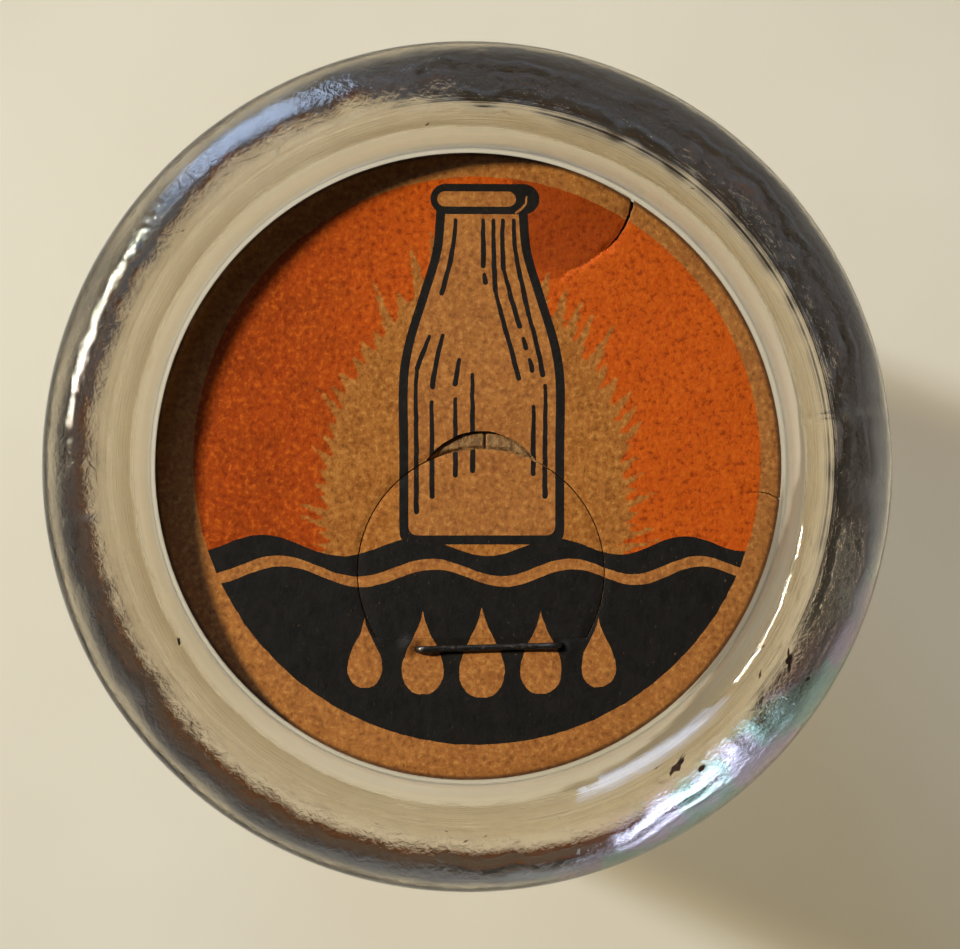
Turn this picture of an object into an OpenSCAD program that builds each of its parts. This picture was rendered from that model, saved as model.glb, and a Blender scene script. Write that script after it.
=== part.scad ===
// Half-pint glass milk bottle with a stapled paperboard pull-tab cap.
// Millimetres. The origin is on the bottle's axis, in the plane that its foot stands on, and +Z is up.
// +Y is the side that the pull tab opens from, and the tab hinges at the staple, on the -Y side.

/* [Bottle] */
// Height from the foot to the top of the lip
bottle_h = 140; // [132:1:150]
// Outside diameter of the straight body
body_d = 62; // [60:0.5:66]
// Height at which the body starts to curve in
shoulder_z = 78; // [70:1:84]
// Wall thickness of the straight body
wall_t = 3.3; // [2.8:0.1:4]
// Radius of the heel, where the body meets the foot
heel_r = 4; // [3:0.5:5]
// Width of the flat ring that the bottle stands on
foot_w = 2.5; // [2:0.5:4]
// Rise of the underside at its middle
push_up = 3; // [2:0.5:4]
// Thickness of the glass at the middle of the floor
floor_t = 6; // [5:0.5:8]

/* [Neck and lip] */
// Outside diameter of the neck
neck_d = 45.5; // [44:0.5:48]
// Inside diameter of the throat, below the cap seat
throat_d = 36.5; // [35:0.5:38]
// Height at which the neck becomes straight
neck_z = 112; // [108:1:116]
// Outside diameter of the lip
lip_d = 56; // [55:0.5:57]
// Radius of the outer half of the lip's rounded top
lip_top_r = 3.6; // [3.2:0.1:4]
// Height of the straight land around the lip
lip_land_h = 3; // [2:0.5:4]
// Radius of the lip's lower edge
lip_under_r = 2; // [1.5:0.1:3]
// Slope of the lip's underside, from the horizontal
lip_taper = 45; // [40:1:55]

/* [Cap seat] */
// Inside diameter of the wall around the cap
seat_d = 41.4; // [41.4:0.1:42]
// Depth of the ledge that the cap rests on, below the lip
seat_depth = 4.75; // [4:0.25:6]
// Widening of the mouth above the seat wall, on the radius
mouth_flare = 0.2; // [0.1:0.1:0.4]

/* [Cap] */
// Diameter of the cap, nominally 1 5/8 inch
cap_d = 41.3; // [41:0.1:41.3]
// Thickness of the waxed board disc
board_t = 0.75; // [0.6:0.05:0.9]
// Thickness of the printed facing that is glued on the board
facing_t = 0.4; // [0.3:0.05:0.5]

/* [Pull tab] */
// Diameter of the round pull tab
tab_d = 16.2; // [14:0.2:18]
// Distance of the tab's centre to the right of the cap's centre
tab_x = 0.75; // [0:0.05:1]
// Distance of the tab's centre below the cap's centre
tab_drop = 7; // [6:0.25:7.5]
// Width of the cut around the tab
tab_cut = 0.08; // [0.05:0.01:0.15]
// Diameter of the fingernail notch above the tab
notch_d = 8.4; // [7:0.2:9]
// Distance of the notch's centre above the tab's centre
notch_up = 5.1; // [4.5:0.1:5.5]

/* [Staple] */
// Overall length of the staple's crown
staple_l = 10; // [8:0.5:11]
// Diameter of the staple's wire
wire_d = 0.52; // [0.4:0.02:0.6]
// Distance of the staple's middle to the right of the cap's centre
staple_x = 1.3; // [0.5:0.1:1.5]
// Distance of the staple below the cap's centre
staple_drop = 11.95; // [11.5:0.05:12.5]
// Length of each leg where it is bent flat under the board
clinch_l = 3.6; // [2.5:0.1:4]

/* [Hidden] */
$fn = 96;
eps = 0.01;

body_r = body_d / 2;
neck_r = neck_d / 2;
throat_r = throat_d / 2;
lip_r = lip_d / 2;
seat_r = seat_d / 2;
cap_r = cap_d / 2;
tab_r = tab_d / 2;
wire_r = wire_d / 2;

// Foot and floor
foot_out = body_r - heel_r;
foot_in = foot_out - foot_w;
floor_z = push_up + floor_t;       // top of the floor at the axis
floor_fall = 2;                    // how much the floor falls from the axis to its edge
floor_r = 5.5;                     // radius between the floor and the wall
inner_r = body_r - wall_t;

// Inside of the shoulder, which starts and ends a little apart from the outside
inner_shoulder_z = shoulder_z - 2.5;
inner_neck_z = neck_z + 1;
convex_share = 0.42;               // share of the shoulder curve that bulges outwards

// Lip
land_top = bottle_h - lip_top_r;
land_bottom = land_top - lip_land_h;
lip_under_turn = 90 - lip_taper;   // angle that the lower edge turns through
lip_fillet_r = 3;                  // radius between the lip and the neck
mouth_r = seat_r + mouth_flare;
mouth_edge_r = lip_r - lip_top_r - mouth_r;    // radius of the inner half of the lip's rounded top
seat_z = bottle_h - seat_depth;    // height of the ledge
ledge_edge_r = 0.5;                // radius of the ledge's inner edge
seat_wall_top = bottle_h - mouth_edge_r - 0.5;

// Cap and staple
facing_z = seat_z + board_t;
cap_top = facing_z + facing_t;
hinge_offset = 0.6;                // from the staple's centreline to the line that the tab folds on
hinge_y = hinge_offset - staple_drop;
staple_hole_r = wire_r + 0.2;
leg_x = staple_l / 2 - wire_r;
bend_r = 0.45;                     // radius of the wire's bends, to its centreline
crown_wire_z = cap_top + wire_r;
clinch_wire_z = seat_z - wire_r;

// Points on an arc about [cr, cz], from angle a0 to angle a1
function arc(cr, cz, r, a0, a1, n) =
    [for (i = [0:n]) let (a = a0 + (a1 - a0) * i / n) [cr + r * cos(a), cz + r * sin(a)]];

// A shallow dome from the axis at height z0 to [r1, z1]
function dome(z0, r1, z1, n) =
    let (rise = z0 - z1, r = (r1 * r1 + rise * rise) / (2 * rise), turn = asin(r1 / r))
    [for (i = [0:n]) [r * sin(turn * i / n), z0 - r * (1 - cos(turn * i / n))]];

// Two arcs from vertical at [r0, z0] to vertical at [r1, z1], the first with that share of the curve
function s_curve(r0, z0, r1, z1, share, n) =
    let (
        d = r1 - r0,
        h = z1 - z0,
        r = (d * d + h * h) / (2 * abs(d)),
        turn = 2 * atan(abs(d / h)),
        a = share * r,
        b = r - a
    )
    concat(
        [for (i = [0:n]) let (t = turn * i / n)
            [r0 + sign(d) * a * (1 - cos(t)), z0 + sign(h) * a * sin(t)]],
        [for (i = [n - 1:-1:0]) let (t = turn * i / n)
            [r1 - sign(d) * b * (1 - cos(t)), z1 - sign(h) * b * sin(t)]]
    );

function reversed(points) = [for (i = [len(points) - 1:-1:0]) points[i]];

// Lower edge of the lip, its tapered underside and the fillet below, from the lip's land down to the neck
function lip_under_points() =
    let (
        under = arc(lip_r - lip_under_r, land_bottom, lip_under_r, 0, -lip_under_turn, 8),
        from = under[len(under) - 1],
        fillet_cr = neck_r + lip_fillet_r,
        turn = 180 - lip_under_turn,
        run = from[0] - (fillet_cr + lip_fillet_r * cos(turn)),
        fillet_cz = from[1] - run * tan(lip_taper) - lip_fillet_r * sin(turn)
    )
    concat(under, arc(fillet_cr, fillet_cz, lip_fillet_r, turn, 180, 8));

// Inner half of the lip's rounded top, down to the seat wall
function mouth_edge_points() =
    let (edge = arc(mouth_r + mouth_edge_r, bottle_h - mouth_edge_r, mouth_edge_r, 90, 180, 12))
    [for (p = edge) if (p[1] < bottle_h) p];

function outside_points() = concat(
    dome(push_up, foot_in, 0, 8),
    arc(foot_out, heel_r, heel_r, -90, 0, 8),
    s_curve(body_r, shoulder_z, neck_r, neck_z, convex_share, 9),
    reversed(lip_under_points()),
    arc(lip_r - lip_top_r, land_top, lip_top_r, 0, 90, 12),
    mouth_edge_points()
);

function inside_points() = concat(
    [[seat_r, seat_wall_top], [seat_r, seat_z]],
    arc(throat_r + ledge_edge_r, seat_z - ledge_edge_r, ledge_edge_r, 90, 180, 4),
    reversed(s_curve(inner_r, inner_shoulder_z, throat_r, inner_neck_z, convex_share, 9)),
    arc(inner_r - floor_r, floor_z - floor_fall + floor_r, floor_r, 0, -90, 8),
    reversed(dome(floor_z, inner_r - floor_r, floor_z - floor_fall, 8))
);

// Pressed and blown in one piece of clear glass
module bottle() {
    color("lightcyan", 0.4)
    rotate_extrude()
    polygon(concat(outside_points(), inside_points()));
}

module at_tab() translate([tab_x, -tab_drop]) children();

module above_hinge() translate([-cap_r, hinge_y]) square([cap_d, cap_d]);

module staple_holes(z, h)
    for (side = [-1, 1])
        translate([staple_x + side * leg_x, -staple_drop, z - eps])
        cylinder(r = staple_hole_r, h = h + 2 * eps);

// Plain disc that seals the bottle
module cap_board() {
    color("peru")
    difference() {
        translate([0, 0, seat_z]) cylinder(r = cap_r, h = board_t);
        staple_holes(seat_z, board_t);
    }
}

// Printed layer, cut around the tab, with the fingernail notch open above it
module cap_facing() {
    color("darkorange")
    difference() {
        translate([0, 0, facing_z]) cylinder(r = cap_r, h = facing_t);
        translate([0, 0, facing_z - eps])
        linear_extrude(facing_t + 2 * eps)
        union() {
            intersection() {
                at_tab() circle(tab_r + tab_cut);
                above_hinge();
            }
            at_tab() translate([0, notch_up]) circle(d = notch_d);
        }
        staple_holes(facing_z, facing_t);
    }
}

// Part of the printed layer that lifts, folding along the staple
module pull_tab() {
    color("burlywood")
    translate([0, 0, facing_z])
    linear_extrude(facing_t)
    intersection() {
        at_tab() circle(tab_r);
        translate([0, tab_cut]) above_hinge();
    }
}

// Quarter turn of wire that ends on its own +X and +Z axes
module wire_bend()
    rotate([90, 0, 0])
    rotate_extrude(angle = 90)
    translate([bend_r, 0])
    circle(wire_r);

// One leg: bent down from the crown, through both layers, and bent flat towards the middle
module staple_leg() {
    top = crown_wire_z - bend_r;
    bottom = clinch_wire_z + bend_r;
    translate([leg_x - bend_r, 0, top]) wire_bend();
    translate([leg_x, 0, bottom]) cylinder(r = wire_r, h = top - bottom);
    translate([leg_x - bend_r, 0, bottom]) mirror([0, 0, 1]) wire_bend();
    translate([leg_x - bend_r - clinch_l, 0, clinch_wire_z])
    rotate([0, 90, 0])
    cylinder(r = wire_r, h = clinch_l);
}

// Wire staple that holds the tab to the board
module staple() {
    color("dimgray")
    translate([staple_x, -staple_drop, 0])
    union() {
        translate([bend_r - leg_x, 0, crown_wire_z])
        rotate([0, 90, 0])
        cylinder(r = wire_r, h = 2 * (leg_x - bend_r));
        staple_leg();
        mirror([1, 0, 0]) staple_leg();
    }
}

bottle();
cap_board();
cap_facing();
pull_tab();
staple();
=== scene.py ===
import math
import random
from types import SimpleNamespace

import bmesh
import bpy
import numpy as np
from mathutils import Matrix, Vector, noise
from mathutils.geometry import delaunay_2d_cdt


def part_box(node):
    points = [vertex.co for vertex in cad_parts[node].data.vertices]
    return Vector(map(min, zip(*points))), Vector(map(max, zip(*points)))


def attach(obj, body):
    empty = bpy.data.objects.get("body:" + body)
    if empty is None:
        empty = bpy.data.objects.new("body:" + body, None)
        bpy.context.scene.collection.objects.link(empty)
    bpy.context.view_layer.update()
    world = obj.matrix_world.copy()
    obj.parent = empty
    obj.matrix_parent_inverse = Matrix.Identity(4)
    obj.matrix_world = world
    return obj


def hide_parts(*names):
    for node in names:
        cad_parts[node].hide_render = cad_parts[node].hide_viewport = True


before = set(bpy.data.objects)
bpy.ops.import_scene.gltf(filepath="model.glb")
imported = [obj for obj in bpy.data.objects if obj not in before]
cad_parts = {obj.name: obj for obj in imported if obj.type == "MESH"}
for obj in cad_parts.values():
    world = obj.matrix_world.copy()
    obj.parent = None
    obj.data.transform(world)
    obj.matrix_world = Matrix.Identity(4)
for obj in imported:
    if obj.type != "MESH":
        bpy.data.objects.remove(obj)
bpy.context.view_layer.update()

MM = 0.001
SEED = 41
random.seed(SEED)

# Cap layout, in millimetres
PRINT_X, PRINT_Y, PRINT_R = 0.56, 0.36, 18.7    # middle and radius of the printed circle
NOTCH_R = 4.2            # radius of the fingernail notch
NOTCH_UP = 5.1           # from the tab's centre up to the notch's centre
TAB_CUT = 0.08           # width of the cut around the tab
GRID = 0.3               # spacing of the points that shape the board's surface
FINE_GRID = 0.13         # their spacing beside tears
WAVE_STEP = 9.25         # length of one printed wave

# Heights, in metres, read from the frame
board_low, board_high = (c.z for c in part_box("cap_board"))
facing_low, facing_high = (c.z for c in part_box("cap_facing"))


def srgb(r, g, b):
    """A linear colour from 0-255 display values."""
    def one(v):
        v = v / 255
        return v / 12.92 if v <= 0.04045 else ((v + 0.055) / 1.055) ** 2.4
    return (one(r), one(g), one(b), 1.0)


# ---- nodes

def add(tree, kind, inputs=(), **settings):
    """A node with its settings, and its inputs set to values or linked to sockets."""
    made = tree.nodes.new(kind)
    for key, value in settings.items():
        setattr(made, key, value)
    for key, value in dict(inputs).items():
        if isinstance(value, bpy.types.NodeSocket):
            tree.links.new(value, made.inputs[key])
        else:
            made.inputs[key].default_value = value
    return made


def blank_material(name):
    mat = bpy.data.materials.new(name)
    mat.use_nodes = True
    mat.node_tree.nodes.clear()
    return mat, mat.node_tree


def output(tree, shader, volume=None):
    out = tree.nodes.new("ShaderNodeOutputMaterial")
    tree.links.new(shader, out.inputs["Surface"])
    if volume is not None:
        tree.links.new(volume, out.inputs["Volume"])


def millimetres(tree, stretch=(1, 1, 1)):
    """The piece's own coordinates in millimetres, squeezed along each axis by stretch."""
    place = add(tree, "ShaderNodeTexCoord")
    scale = tuple(s / MM for s in stretch)
    scaled = add(tree, "ShaderNodeVectorMath", {0: place.outputs["Object"], 1: scale}, operation="MULTIPLY")
    return scaled.outputs[0]


def noise_of(tree, where, scale, detail=3.0, roughness=0.55, distortion=0.0):
    made = add(tree, "ShaderNodeTexNoise", {
        "Vector": where, "Scale": scale, "Detail": detail, "Roughness": roughness, "Distortion": distortion})
    return made.outputs["Fac"]


def ramp(tree, value, low, high, to_low=0.0, to_high=1.0):
    """A smooth step from to_low, where the value is low, to to_high, where it is high."""
    made = add(tree, "ShaderNodeMapRange", {
        "Value": value, "From Min": low, "From Max": high, "To Min": to_low, "To Max": to_high},
        interpolation_type="SMOOTHSTEP")
    return made.outputs["Result"]


def mixed(tree, share, a, b):
    """The colour a, turning to b as share goes from 0 to 1."""
    return add(tree, "ShaderNodeMix", {0: share, 6: a, 7: b}, data_type="RGBA").outputs[2]


def touched(tree, tone, touches):
    """The tone with other colours over it, each up to its share where its value goes from low to high."""
    for value, low, high, most, colour in touches:
        tone = mixed(tree, ramp(tree, value, low, high, 0.0, most), tone, srgb(*colour))
    return tone


def maths(tree, how, first, *others):
    """The values joined by one sum, product or other operation, from left to right."""
    for other in others:
        first = add(tree, "ShaderNodeMath", {0: first, 1: other}, operation=how).outputs[0]
    return first


def times(tree, *values):
    return maths(tree, "MULTIPLY", *values)


def plus(tree, *values):
    return maths(tree, "ADD", *values)


def from_axis(tree, where):
    """Height above the foot, and distance from the bottle's axis, in millimetres."""
    parts = add(tree, "ShaderNodeSeparateXYZ", {0: where})
    flat = add(tree, "ShaderNodeCombineXYZ", {0: parts.outputs[0], 1: parts.outputs[1]})
    radius = add(tree, "ShaderNodeVectorMath", {0: flat.outputs[0]}, operation="LENGTH")
    return parts.outputs[2], radius.outputs["Value"]


def towards(tree, where, side):
    """How far a point lies towards that side of the bottle's axis, in millimetres."""
    made = add(tree, "ShaderNodeVectorMath", {0: where, 1: side}, operation="DOT_PRODUCT")
    return made.outputs["Value"]


def attribute(tree, name):
    return add(tree, "ShaderNodeAttribute", attribute_name=name).outputs["Fac"]


# ---- board and ink

def board_parts(tree):
    """Bare brown board: its tone and height, and the noises that they are made from.

    It has clouds, mottling, fibres along Y, dark flecks, and a rim darkened as painted shade of the narrow
    gap between the cap and the glass.
    """
    where = millimetres(tree)
    along = millimetres(tree, (1.0, 0.5, 1.0))
    clouds = noise_of(tree, where, 0.7, 4.0, 0.6)
    mottle = noise_of(tree, where, 2.7, 4.0, 0.66, 0.15)
    fibres = noise_of(tree, along, 2.6, 5.0, 0.66, 0.5)
    grain = noise_of(tree, where, 8.0, 3.0, 0.65)
    flecks = noise_of(tree, along, 4.4, 2.0, 0.5, 1.2)
    _, radius = from_axis(tree, where)
    tone = mixed(tree, ramp(tree, clouds, 0.3, 0.7), srgb(155, 93, 38), srgb(171, 108, 47))
    tone = touched(tree, tone, [
        (mottle, 0.51, 0.66, 0.7, (198, 137, 70)),
        (mottle, 0.49, 0.34, 0.62, (108, 60, 22)),
        (fibres, 0.48, 0.72, 0.6, (186, 122, 58)),
        (grain, 0.5, 0.25, 0.4, (104, 58, 20)),
        (flecks, 0.67, 0.75, 0.5, (84, 46, 18)),
        # painted shade: the rim darkens where the gap between the cap and the glass lies in shade
        (radius, CAP_R - 0.34, CAP_R - 0.1, 0.75, (52, 30, 14))])
    height = plus(tree, times(tree, fibres, 0.5), times(tree, mottle, 0.8))
    return SimpleNamespace(where=where, along=along, mottle=mottle, fibres=fibres, grain=grain,
                           tone=tone, height=height)


def board_shader(tree, colour, height, rough, depth=0.05, gloss=0.3):
    """A matte surface, its relief that deep in millimetres."""
    bump = add(tree, "ShaderNodeBump", {"Height": height, "Strength": 0.8, "Distance": depth * MM})
    shader = add(tree, "ShaderNodeBsdfPrincipled", {
        "Base Color": colour, "Roughness": rough, "Normal": bump.outputs[0],
        "Specular IOR Level": gloss, "IOR": 1.45})
    output(tree, shader.outputs[0])


def bare_board():
    mat, tree = blank_material("bare_board")
    board = board_parts(tree)
    board_shader(tree, board.tone, board.height, ramp(tree, board.fibres, 0.3, 0.7, 0.62, 0.82))
    return mat


def torn_board():
    """The inside of the board, where its layers have pulled apart."""
    mat, tree = blank_material("torn_board")
    board = board_parts(tree)
    shreds = noise_of(tree, board.along, 1.7, 6.0, 0.7, 1.2)
    tone = mixed(tree, ramp(tree, shreds, 0.38, 0.62), srgb(122, 88, 54), srgb(170, 130, 84))
    tone = touched(tree, tone, [(board.grain, 0.55, 0.3, 0.5, (84, 60, 38))])
    height = plus(tree, times(tree, shreds, 1.2), board.height)
    board_shader(tree, tone, height, ramp(tree, board.fibres, 0.3, 0.7, 0.8, 0.95), depth=0.09)
    return mat


def orange_tone(tree, board):
    """The ink alone, darker on the left as painted shade where the lip's shadow softens over the cap, and
    darker on the board's torn flap as painted shade where the flap tilts away from the light.
    """
    across = towards(tree, board.where, (1.0, 0.0, 0.0))
    # painted shade: the ink darkens towards the left, where the lip's shadow fades out over the cap
    ink = mixed(tree, ramp(tree, across, -14.0, 1.0), srgb(150, 57, 4), srgb(194, 83, 12))
    ink = touched(tree, ink, [
        (noise_of(tree, board.where, 0.5, 3.0), 0.3, 0.7, 0.4, (186, 70, 8)),
        (board.mottle, 0.51, 0.68, 0.6, (212, 102, 20)),
        (board.mottle, 0.49, 0.33, 0.72, (122, 40, 2)),
        (board.fibres, 0.5, 0.72, 0.3, (208, 100, 24))])
    # painted shade: the ink on the torn flap darkens where the flap tilts away from the light
    return mixed(tree, times(tree, attribute(tree, "flap"), 0.54), ink, srgb(112, 34, 4))


def orange_ink():
    """Orange ink, worn in specks and brushed away over the glow."""
    mat, tree = blank_material("orange_ink")
    board = board_parts(tree)
    worn = ramp(tree, noise_of(tree, board.where, 6.0, 4.0, 0.7), 0.6, 0.8, 0.03, 0.45)
    brushed = times(tree, noise_of(tree, board.where, 3.6, 4.0, 0.8, 0.6), 0.8)
    thin = maths(tree, "SUBTRACT", attribute(tree, "fade"), brushed)
    bare = maths(tree, "MAXIMUM", worn, ramp(tree, thin, -0.05, 0.38))
    tone = mixed(tree, bare, orange_tone(tree, board), board.tone)
    rough = ramp(tree, board.fibres, 0.3, 0.7, 0.55, 0.75)
    board_shader(tree, tone, board.height, rough, depth=0.07, gloss=0.12)
    return mat


def black_ink():
    mat, tree = blank_material("black_ink")
    board = board_parts(tree)
    clouds = ramp(tree, noise_of(tree, board.where, 0.8, 4.0), 0.3, 0.7)
    ink = mixed(tree, clouds, srgb(14, 11, 7), srgb(22, 17, 12))
    ink = touched(tree, ink, [
        (board.grain, 0.52, 0.74, 0.5, (42, 33, 24)),
        (noise_of(tree, board.along, 7.5, 3.0, 0.6, 0.8), 0.66, 0.78, 0.6, (128, 98, 66))])
    rough = ramp(tree, board.fibres, 0.3, 0.7, 0.52, 0.72)
    board_shader(tree, ink, board.height, rough, depth=0.03, gloss=0.25)
    return mat


def old_paper():
    """Dark scraps of old paper."""
    mat, tree = blank_material("paper_scrap")
    where = millimetres(tree)
    clouds = ramp(tree, noise_of(tree, where, 3.0, 3.0), 0.35, 0.65)
    tone = mixed(tree, clouds, srgb(24, 14, 8), srgb(66, 40, 22))
    board_shader(tree, tone, noise_of(tree, where, 6.0), 0.8)
    return mat


# ---- wire and glass

def wire():
    """Staple wire, dulled and spotted with rust."""
    mat, tree = blank_material("dull_wire")
    where = millimetres(tree)
    drawn = noise_of(tree, millimetres(tree, (0.12, 1.0, 1.0)), 22.0, 3.0)
    spots = ramp(tree, noise_of(tree, where, 3.0, 4.0, 0.7), 0.52, 0.68)
    tone = mixed(tree, ramp(tree, drawn, 0.35, 0.65), srgb(62, 58, 54), srgb(92, 87, 80))
    tone = mixed(tree, spots, tone, srgb(66, 44, 28))
    bump = add(tree, "ShaderNodeBump", {"Height": drawn, "Strength": 0.4, "Distance": 0.01 * MM})
    shader = add(tree, "ShaderNodeBsdfPrincipled", {
        "Base Color": tone, "Metallic": ramp(tree, spots, 0.0, 1.0, 0.9, 0.35),
        "Roughness": ramp(tree, spots, 0.0, 1.0, 0.34, 0.75), "Normal": bump.outputs[0]})
    output(tree, shader.outputs[0])
    return mat


FILM_SHADE_SIDE = (-0.64, 0.77, 0.0)      # towards the side of the lip where the milk film is painted darker, as painted shade against the brighter light on that side
STAIN_SIDE = (0.67, -0.74, 0.0)     # towards the side where the glass has weathered to rainbow colours

# Heights, in millimetres, over which the lip's own marks set in, the lip starts to shade, and the base ends
MARKS_FROM, MARKS_TO = 134.0, 138.0
SHADE_FROM, SHADE_TO = 129.0, 133.0
BASE_FROM, BASE_TO = 9.0, 13.0

CLEAN_GLASS = (0.99, 0.98, 0.955, 1.0)
MILK_FILM = (0.56, 0.48, 0.35, 1.0)
MILK_RINGS = (0.7, 0.63, 0.52, 1.0)
STAIN_GREEN = (0.3, 0.75, 0.55, 1.0)
STAIN_PURPLE = (0.8, 0.55, 0.85, 1.0)
BODY_TINT = (0.9, 0.7, 0.27, 1.0)

# How much light lamps send through the base, the body and the lip
THROUGH_BASE = (1.0, 1.0, 1.0, 1.0)
THROUGH_BODY = (0.82, 0.81, 0.78, 1.0)
THROUGH_LIP = (0.12, 0.1, 0.08, 1.0)


def lip_marks(tree, where, high, radius):
    """How strong the marks on the lip are: ripples outside, rings on the inner slope, stain, and a milk film
    that is stronger on one side as painted shade.
    """
    ripples = times(tree, high, ramp(tree, radius, 23.0, 24.6))
    rings = times(tree, high, ramp(tree, radius, 20.8, 21.3), ramp(tree, radius, 24.8, 23.4))
    shaded_side = ramp(tree, towards(tree, where, FILM_SHADE_SIDE), -16.0, 6.0, 0.25, 1.0)
    film = times(tree, ramp(tree, radius, 20.9, 21.1), ramp(tree, radius, 23.4, 22.0), high, shaded_side)
    weathered = ramp(tree, towards(tree, where, STAIN_SIDE), 22.0, 25.0)
    stain = times(tree, weathered, high, ramp(tree, radius, 23.6, 24.8, 0.0, 0.8))
    return SimpleNamespace(ripples=ripples, rings=rings, film=film, stain=stain)


def glass_relief(tree, where, marks, rings):
    """Height of the glass's unevenness, in millimetres."""
    broad = noise_of(tree, where, 0.16, 2.0)
    ripples = noise_of(tree, where, 2.0, 4.0, 0.62, 0.6)
    crackle = noise_of(tree, where, 4.2, 3.0, 0.6, 0.8)
    return plus(tree, times(tree, broad, 0.2),
                times(tree, ripples, marks.ripples, 0.036),
                times(tree, rings, marks.rings, 0.034),
                times(tree, crackle, marks.stain, 0.05))


def glass_tone(tree, where, marks, rings):
    """Clear glass, dulled by a milk film inside the mouth that is darker on one side as painted shade, and
    stained in rainbow colours on the other side.
    """
    tone = mixed(tree, marks.film, CLEAN_GLASS, MILK_FILM)
    fine = times(tree, ramp(tree, rings, 0.4, 0.62), times(tree, marks.rings, 0.4))
    tone = mixed(tree, fine, tone, MILK_RINGS)
    hues = ramp(tree, noise_of(tree, where, 0.2, 2.0), 0.44, 0.56)
    return mixed(tree, marks.stain, tone, mixed(tree, hues, STAIN_GREEN, STAIN_PURPLE))


def without_caustics(tree, shader, height):
    """The shader, but plainly see-through to shadow rays and to light that matte things scatter."""
    through = mixed(tree, ramp(tree, height, BASE_FROM, BASE_TO), THROUGH_BASE, THROUGH_BODY)
    through = mixed(tree, ramp(tree, height, SHADE_FROM, SHADE_TO), through, THROUGH_LIP)
    clear = add(tree, "ShaderNodeBsdfTransparent", {"Color": through}).outputs[0]
    path = add(tree, "ShaderNodeLightPath")
    for ray in ("Is Diffuse Ray", "Is Shadow Ray"):
        shader = add(tree, "ShaderNodeMixShader", {0: path.outputs[ray], 1: shader, 2: clear}).outputs[0]
    return shader


def glass():
    """Clear glass with a faint warm tint, fire-polished but uneven, most of all over the lip's edge."""
    mat, tree = blank_material("clear_glass_ripples")
    where = millimetres(tree)
    height, radius = from_axis(tree, where)
    marks = lip_marks(tree, where, ramp(tree, height, MARKS_FROM, MARKS_TO), radius)
    rings = add(tree, "ShaderNodeTexNoise", {"W": radius, "Scale": 2.6, "Detail": 4.0},
                noise_dimensions="1D").outputs["Fac"]
    relief = glass_relief(tree, where, marks, rings)
    bump = add(tree, "ShaderNodeBump", {"Height": relief, "Strength": 1.0, "Distance": 1.0 * MM})
    smudges = ramp(tree, noise_of(tree, where, 0.3, 5.0, 0.7), 0.45, 0.75, 0.0, 0.06)
    shader = add(tree, "ShaderNodeBsdfPrincipled", {
        "Base Color": glass_tone(tree, where, marks, rings), "Normal": bump.outputs[0],
        "Roughness": plus(tree, smudges, times(tree, marks.stain, 0.16)),
        "Transmission Weight": 1.0, "IOR": 1.51})
    tint = add(tree, "ShaderNodeVolumeAbsorption", {"Color": BODY_TINT, "Density": 18.0})
    output(tree, without_caustics(tree, shader.outputs[0], height), tint.outputs[0])
    return mat


# ---- mesh helpers

def mesh_object(name, verts, faces, materials, indices=None, smooth=True):
    mesh = bpy.data.meshes.new(name)
    mesh.from_pydata([tuple(v) for v in verts], [], [tuple(int(i) for i in f) for f in faces])
    for mat in materials:
        mesh.materials.append(mat)
    if indices is not None:
        mesh.polygons.foreach_set("material_index", [int(i) for i in indices])
    mesh.polygons.foreach_set("use_smooth", [smooth] * len(mesh.polygons))
    mesh.update()
    obj = bpy.data.objects.new(name, mesh)
    bpy.context.scene.collection.objects.link(obj)
    return obj


def section_of(node):
    """A node's wall section, in metres: (radius, height) points from the axis below to the axis inside."""
    cut = bmesh.new()
    cut.from_mesh(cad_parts[node].data)
    bmesh.ops.remove_doubles(cut, verts=cut.verts, dist=1e-7)
    everything = cut.verts[:] + cut.edges[:] + cut.faces[:]
    bmesh.ops.bisect_plane(cut, geom=everything, dist=1e-7, plane_co=(0, 0, 0), plane_no=(0, 1, 0),
                           clear_inner=True, clear_outer=True)
    keep = [e for e in cut.edges if min(e.verts[0].co.x, e.verts[1].co.x) > -1e-6
            and max(abs(e.verts[0].co.y), abs(e.verts[1].co.y)) < 1e-6]
    near = {}
    for e in keep:
        a, b = e.verts
        near.setdefault(a, []).append(b)
        near.setdefault(b, []).append(a)
    ends = sorted((v for v in near if v.co.x < 1e-5), key=lambda v: v.co.z)
    here, last, points = ends[0], None, []
    while here is not None:
        points.append((max(here.co.x, 0.0), here.co.z))
        here, last = next((v for v in near[here] if v is not last), None), here
    cut.free()
    return np.array(points)


def rounded(points, reach, least=20.0):
    """Corners sharper than that angle are replaced by short curves."""
    out = [points[0]]
    for a, b, c in zip(points, points[1:], points[2:]):
        u, v = b - a, c - b
        lu, lv = np.hypot(*u), np.hypot(*v)
        turn = abs(math.degrees(math.atan2(u[0] * v[1] - u[1] * v[0], u @ v)))
        if turn < least:
            out.append(b)
            continue
        r = min(reach, 0.45 * lu, 0.45 * lv)
        p, q = b - u / lu * r, b + v / lv * r
        out += [(1 - t) ** 2 * p + 2 * t * (1 - t) * b + t * t * q for t in (0.0, 0.25, 0.5, 0.75, 1.0)]
    return np.array(out + [points[-1]])


def spaced(points, longest):
    """Long steps are split evenly."""
    out = [points[0]]
    for a, b in zip(points, points[1:]):
        n = max(1, math.ceil(np.hypot(*(b - a)) / longest))
        out += [a + (b - a) * i / n for i in range(1, n + 1)]
    return np.array(out)


def left_side(points):
    """Unit directions square to a line of points, on its left."""
    step = np.gradient(points, axis=0)
    return np.stack([-step[:, 1], step[:, 0]], axis=1) / np.hypot(step[:, 0], step[:, 1])[:, None]


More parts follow.
